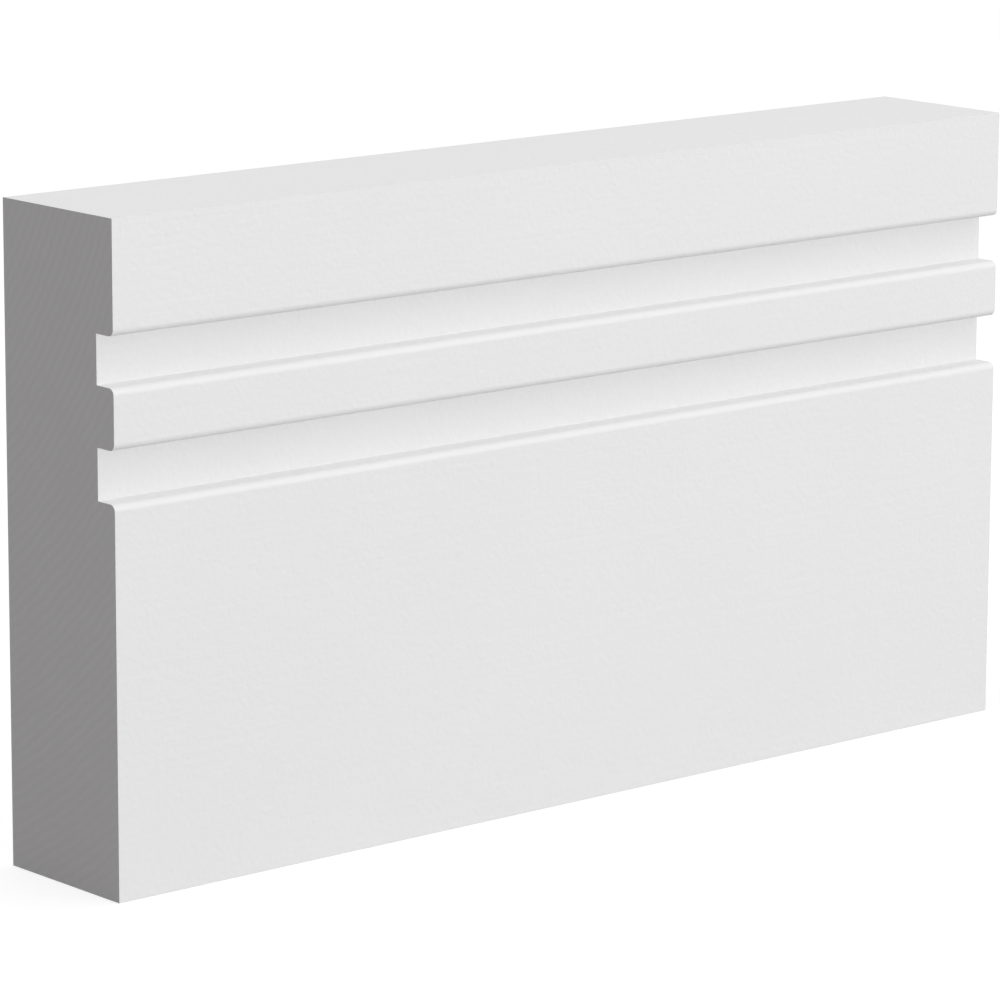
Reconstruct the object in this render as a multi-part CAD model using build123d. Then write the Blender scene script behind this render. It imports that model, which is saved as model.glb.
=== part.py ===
from build123d import *
import os

# A straight length of skirting board, moulded as one piece from a rectangular blank.
# X runs along the board, its face looks towards -Y, its wall side towards +Y, and Z is up
# from the floor. The origin is the middle of the underside.

# The blank, in millimetres
board_length = 170.0
board_height = 95.0
board_thickness = 25.0

# Bands and grooves of the face, from the top edge down
top_band_height = 16.1
upper_groove_height = 7.1
middle_band_height = 8.6
lower_groove_height = 7.4

# Both grooves are cut to one depth, and their mouths have one lip radius
groove_depth = 3.8
lip_radius = 1.0

# Levels and planes that follow from the sizes above
face_plane = -board_thickness / 2
upper_groove_top = board_height - top_band_height
upper_groove_floor = upper_groove_top - upper_groove_height
lower_groove_top = upper_groove_floor - middle_band_height

# A lip can't be rounder than the groove wall or half of the band that carries it
largest_lip_share = 0.95
largest_lip = largest_lip_share * min(groove_depth, middle_band_height / 2)
rounded_lip = min(lip_radius, largest_lip)


def groove_section(top, height):
    """Square-bottomed groove in the section, with its mouth on the face and its upper wall at top."""
    return Pos(face_plane, top) * Rectangle(groove_depth, height, align=(Align.MIN, Align.MAX))


def lip_corners(section):
    """Corners on the face line, without the square arrises at the underside and the top edge."""
    on_the_face = section.vertices().group_by(Axis.X)[0]
    return on_the_face.sort_by(Axis.Y)[1:-1]


def moulded_section():
    """Section across the board, with X as its thickness and Y as its height."""
    blank = Rectangle(board_thickness, board_height, align=(Align.CENTER, Align.MIN))
    upper_groove = groove_section(upper_groove_top, upper_groove_height)
    lower_groove = groove_section(lower_groove_top, lower_groove_height)
    grooved = blank - upper_groove - lower_groove
    return fillet(lip_corners(grooved), rounded_lip)


# The section stands across X and runs half the length each way
skirting_board = extrude(Plane.YZ * moulded_section(), amount=board_length / 2, both=True)
skirting_board.label = "skirting_board"

os.makedirs("parts", exist_ok=True)
export_step(skirting_board, "parts/skirting_board.step")
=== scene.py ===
import bmesh
import bpy
import math
from mathutils import Euler, Matrix, Vector


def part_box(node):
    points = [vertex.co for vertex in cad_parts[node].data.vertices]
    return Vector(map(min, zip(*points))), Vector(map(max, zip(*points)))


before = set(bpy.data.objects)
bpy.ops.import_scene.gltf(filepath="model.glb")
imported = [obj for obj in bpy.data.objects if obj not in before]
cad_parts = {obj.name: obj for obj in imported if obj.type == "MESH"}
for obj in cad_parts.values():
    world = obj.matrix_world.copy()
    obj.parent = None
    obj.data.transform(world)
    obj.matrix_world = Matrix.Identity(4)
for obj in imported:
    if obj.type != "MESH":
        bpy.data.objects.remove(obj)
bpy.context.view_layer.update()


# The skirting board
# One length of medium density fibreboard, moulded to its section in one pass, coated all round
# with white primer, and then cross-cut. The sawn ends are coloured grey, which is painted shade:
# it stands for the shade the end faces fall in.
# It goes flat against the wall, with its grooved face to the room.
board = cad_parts["skirting_board"]
board_low, board_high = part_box("skirting_board")
millimetre = 0.001


def linear(hex_colour):
    """Linear RGBA of an sRGB colour written as six hex digits."""
    channels = [int(hex_colour[i:i + 2], 16) / 255 for i in (0, 2, 4)]
    return tuple(c / 12.92 if c <= 0.04045 else ((c + 0.055) / 1.055) ** 2.4 for c in channels) + (1.0,)


def add_node(tree, kind, inputs, **settings):
    """Adds a node with its settings. An input given a socket is linked to it, and any other is set."""
    node = tree.nodes.new(kind)
    for name, value in settings.items():
        setattr(node, name, value)
    for name, value in inputs.items():
        if isinstance(value, bpy.types.NodeSocket):
            tree.links.new(value, node.inputs[name])
        else:
            node.inputs[name].default_value = value
    return node


# Acrylic primer on moulded fibreboard, sprayed and left as it dried. The eye gets a matt white
# with a soft sheen, a faint orange peel, and faint streaks along the board from the moulding
# cutters and the coating line. The pressed skins at the face and the back are the smoothest.
# Where the cutters opened the core, in the grooves and along the edges, a fine tooth of fibre
# shows through and the sheen is duller.
primed = bpy.data.materials.new("white_primer_on_moulded_fibreboard")
primed.use_nodes = True
tree = primed.node_tree
tree.nodes.clear()
place = add_node(tree, "ShaderNodeTexCoord", {}).outputs["Object"]
axes = add_node(tree, "ShaderNodeSeparateXYZ", {"Vector": place})

# Inputs 2 and 3 of a Mix node are its two numbers, and 6 and 7 are its two colours. A Math node's
# inputs are numbered from 0.

# The sawn ends are the only surface as far out along the board as half its length
edge_margin = 0.01 * millimetre
half_length = (board_high.x - board_low.x) / 2
along = add_node(tree, "ShaderNodeMath", {0: axes.outputs["X"]}, operation="ABSOLUTE")
sawn = add_node(tree, "ShaderNodeMath", {0: along.outputs[0], 1: half_length - edge_margin},
                operation="GREATER_THAN").outputs[0]

# The pressed skins are the outermost of the thickness, and all that lies between them is core
skin_depth = 0.6 * millimetre
half_thickness = (board_high.y - board_low.y) / 2
inwards = add_node(tree, "ShaderNodeMath", {0: axes.outputs["Y"]}, operation="ABSOLUTE")
core = add_node(tree, "ShaderNodeMapRange", {
    "Value": inwards.outputs[0],
    "From Min": half_thickness - edge_margin,
    "From Max": half_thickness - skin_depth,
}).outputs["Result"]

# Orange peel, in soft bumps drawn higher than on a real board so that they show, over streaks
# along the board, also drawn higher than real cutter marks
streak_length = 70 * millimetre
streak_width = 0.8 * millimetre
streak_height = 0.030 * millimetre
stretched = add_node(tree, "ShaderNodeMapping", {
    "Vector": place,
    "Scale": (1 / streak_length, 1 / streak_width, 1 / streak_width),
}).outputs["Vector"]
streaks = add_node(tree, "ShaderNodeTexNoise", {"Vector": stretched, "Scale": 1.0, "Detail": 2.0})
streak_relief = add_node(tree, "ShaderNodeMath", {0: streaks.outputs["Fac"], 1: streak_height},
                         operation="MULTIPLY")
peel_width = 0.9 * millimetre
peel_height = 0.060 * millimetre
peel = add_node(tree, "ShaderNodeTexNoise", {"Vector": place, "Scale": 1 / peel_width, "Detail": 1.0})
skin_relief = add_node(tree, "ShaderNodeMath",
                       {0: peel.outputs["Fac"], 1: peel_height, 2: streak_relief.outputs[0]},
                       operation="MULTIPLY_ADD")

# Fibre tooth, drawn about three times as coarse as real fibre dust, which is too fine to show
fibre_width = 0.5 * millimetre
fibre_height = 0.016 * millimetre
fibre = add_node(tree, "ShaderNodeTexNoise", {"Vector": place, "Scale": 1 / fibre_width, "Detail": 3.0})
fibre_relief = add_node(tree, "ShaderNodeMath", {0: fibre.outputs["Fac"], 1: fibre_height},
                        operation="MULTIPLY")
coat_relief = add_node(tree, "ShaderNodeMath",
                       {0: fibre_relief.outputs[0], 1: core, 2: skin_relief.outputs[0]},
                       operation="MULTIPLY_ADD")

# Saw marks on the ends: shallow arcs about the arbor of a mitre saw that stood behind the board
# and above it, fading in and out across the cut. They are drawn further apart than real ones, so
# that they show.
arbor_behind = 70 * millimetre
arbor_above = 40 * millimetre
arbor = Vector((0, board_high.y + arbor_behind, board_high.z + arbor_above))
saw_mark_spacing = 1.5 * millimetre
saw_mark_height = 0.020 * millimetre
fade_width = 7 * millimetre

# A wave texture runs through 20 radians in each unit of its scaled coordinates
rings_per_scale = 20 / (2 * math.pi)
from_arbor = add_node(tree, "ShaderNodeMapping", {"Vector": place, "Location": -arbor})
saw_marks = add_node(tree, "ShaderNodeTexWave", {
    "Vector": from_arbor.outputs["Vector"],
    "Scale": 1 / (saw_mark_spacing * rings_per_scale),
    "Distortion": 3.0,
    "Detail": 2.0,
}, wave_type="RINGS", rings_direction="X")
fading = add_node(tree, "ShaderNodeTexNoise", {"Vector": place, "Scale": 1 / fade_width})
saw_depth = add_node(tree, "ShaderNodeMath", {0: saw_marks.outputs["Fac"], 1: fading.outputs["Fac"]},
                     operation="MULTIPLY")
sawn_relief = add_node(tree, "ShaderNodeMath",
                       {0: saw_depth.outputs[0], 1: saw_mark_height, 2: fibre_relief.outputs[0]},
                       operation="MULTIPLY_ADD")
height = add_node(tree, "ShaderNodeMix",
                  {"Factor": sawn, 2: coat_relief.outputs[0], 3: sawn_relief.outputs[0]},
                  data_type="FLOAT")

# The heights are in metres already, so the bump takes them as they are
relief = add_node(tree, "ShaderNodeBump", {"Height": height.outputs[0], "Distance": 1.0})

# The white is a shade uneven where the coat is thinner. The grey of the sawn ends is painted
# shade, mottled by the fibre, and it gathers in the saw marks.
cloud_width = 30 * millimetre
saw_mark_share = 0.5
clouds = add_node(tree, "ShaderNodeTexNoise", {"Vector": place, "Scale": 1 / cloud_width, "Detail": 2.0})
white = add_node(tree, "ShaderNodeMix",
                 {"Factor": clouds.outputs["Fac"], 6: linear("E8E8E8"), 7: linear("E5E5E5")},
                 data_type="RGBA")
mottle = add_node(tree, "ShaderNodeMix",
                  {"Factor": saw_mark_share, 2: fibre.outputs["Fac"], 3: saw_depth.outputs[0]},
                  data_type="FLOAT")
# Painted shade: the sawn ends are coloured a mid grey that stands for the shade they fall in
sawn_end_painted_shade = add_node(tree, "ShaderNodeMix",
                {"Factor": mottle.outputs[0], 6: linear("A6A4A5"), 7: linear("B0AEAF")},
                data_type="RGBA")
tone = add_node(tree, "ShaderNodeMix", {"Factor": sawn, 6: white.outputs[2], 7: sawn_end_painted_shade.outputs[2]},
                data_type="RGBA")

skin_roughness = 0.50
core_roughness = 0.60
sawn_roughness = 0.80
coat_roughness = add_node(tree, "ShaderNodeMapRange", {
    "Value": core,
    "To Min": skin_roughness,
    "To Max": core_roughness,
})
roughness = add_node(tree, "ShaderNodeMix",
                     {"Factor": sawn, 2: coat_roughness.outputs["Result"], 3: sawn_roughness},
                     data_type="FLOAT")

coat = add_node(tree, "ShaderNodeBsdfPrincipled", {
    "Base Color": tone.outputs[2],
    "Roughness": roughness.outputs[0],
    "Normal": relief.outputs["Normal"],
})
add_node(tree, "ShaderNodeOutputMaterial", {"Surface": coat.outputs["BSDF"]})
board.data.materials.clear()
board.data.materials.append(primed)


# The floor
# A plain pale floor for the board to stand on. To the eye and in the sheen it is lifted to white,
# and the board's soft shadow stays on it.
floor_half_side = 1.2
floor_drop = 0.05 * millimetre
floor_mesh = bpy.data.meshes.new("floor")
sheet = bmesh.new()
bmesh.ops.create_grid(sheet, x_segments=1, y_segments=1, size=floor_half_side)
bmesh.ops.translate(sheet, verts=sheet.verts, vec=(0, 0, board_low.z - floor_drop))
sheet.to_mesh(floor_mesh)
sheet.free()
floor = bpy.data.objects.new("floor", floor_mesh)
bpy.context.scene.collection.objects.link(floor)


def seen_directly(tree):
    """1 where the camera, a reflection or a clear material looks, and 0 for light that bounces."""
    rays = add_node(tree, "ShaderNodeLightPath", {}).outputs
    either = add_node(tree, "ShaderNodeMath", {0: rays["Is Camera Ray"], 1: rays["Is Glossy Ray"]},
                      operation="MAXIMUM")
    return add_node(tree, "ShaderNodeMath", {0: either.outputs[0], 1: rays["Is Transmission Ray"]},
                    operation="MAXIMUM").outputs[0]


# Matt vinyl floor, plain and even, which gives the eye nothing but a pale ground
floor_lift = 0.54
vinyl = bpy.data.materials.new("pale_matt_vinyl")
vinyl.use_nodes = True
tree = vinyl.node_tree
tree.nodes.clear()
matt = add_node(tree, "ShaderNodeBsdfDiffuse", {"Color": linear("C4C4C4")})
lift = add_node(tree, "ShaderNodeMath", {0: seen_directly(tree), 1: floor_lift}, operation="MULTIPLY")
glow = add_node(tree, "ShaderNodeEmission", {"Color": linear("FFFFFF"), "Strength": lift.outputs[0]})
both = add_node(tree, "ShaderNodeAddShader", {0: matt.outputs[0], 1: glow.outputs[0]})
add_node(tree, "ShaderNodeOutputMaterial", {"Surface": both.outputs[0]})
floor_mesh.materials.append(vinyl)


# The studio
# A pale room lights the board evenly from all sides. A broad soft lamp without a shadow fills the
# face and its grooves from the front, and a weaker one from high up adds a soft shadow behind.
room_strength = 0.7
room_strength_seen = 1.0
room = bpy.data.worlds.new("pale_room")
bpy.context.scene.world = room
room.use_nodes = True
tree = room.node_tree
tree.nodes.clear()
strength = add_node(tree, "ShaderNodeMix",
                    {"Factor": seen_directly(tree), 2: room_strength, 3: room_strength_seen},
                    data_type="FLOAT")
background = add_node(tree, "ShaderNodeBackground",
                      {"Color": linear("FFFFFF"), "Strength": strength.outputs[0]})
add_node(tree, "ShaderNodeOutputWorld", {"Surface": background.outputs[0]})

lamp_distance = 3.0
lamp_side = 2.0


def soft_lamp(name, azimuth, elevation, power, shadow):
    """Square lamp in the given direction from the board, in degrees, turned to face it."""
    lamp_data = bpy.data.lights.new(name, "AREA")
    lamp_data.size = lamp_side
    lamp_data.energy = power
    lamp_data.use_shadow = shadow
    lamp = bpy.data.objects.new(name, lamp_data)
    lamp.visible_camera = False
    bpy.context.scene.collection.objects.link(lamp)
    turn = Euler((math.radians(90 - elevation), 0, math.radians(azimuth)))
    lamp.rotation_euler = turn
    lamp.location = turn.to_matrix() @ Vector((0, 0, lamp_distance))


soft_lamp("front_fill", azimuth=20, elevation=30, power=40, shadow=False)
soft_lamp("high_lamp", azimuth=20, elevation=60, power=5, shadow=True)


# The camera
# It stands in front of the board and beyond its left end, higher than its top edge, and looks
# down at it through a long lens.
camera_data = bpy.data.cameras.new("camera")
camera_data.lens = 188.25
camera = bpy.data.objects.new("camera", camera_data)
bpy.context.scene.collection.objects.link(camera)
camera_place = Vector((-496.47, -570.51, 201.45)) * millimetre
camera_azimuth = math.radians(-40.710)
camera_elevation = math.radians(11.817)
camera_roll = math.radians(0.223)
aim = Euler((math.pi / 2 - camera_elevation, 0, camera_azimuth)).to_matrix().to_4x4()
camera.matrix_world = Matrix.Translation(camera_place) @ aim @ Matrix.Rotation(camera_roll, 4, "Z")
bpy.context.scene.camera = camera
bpy.context.scene.view_settings.view_transform = "Standard"
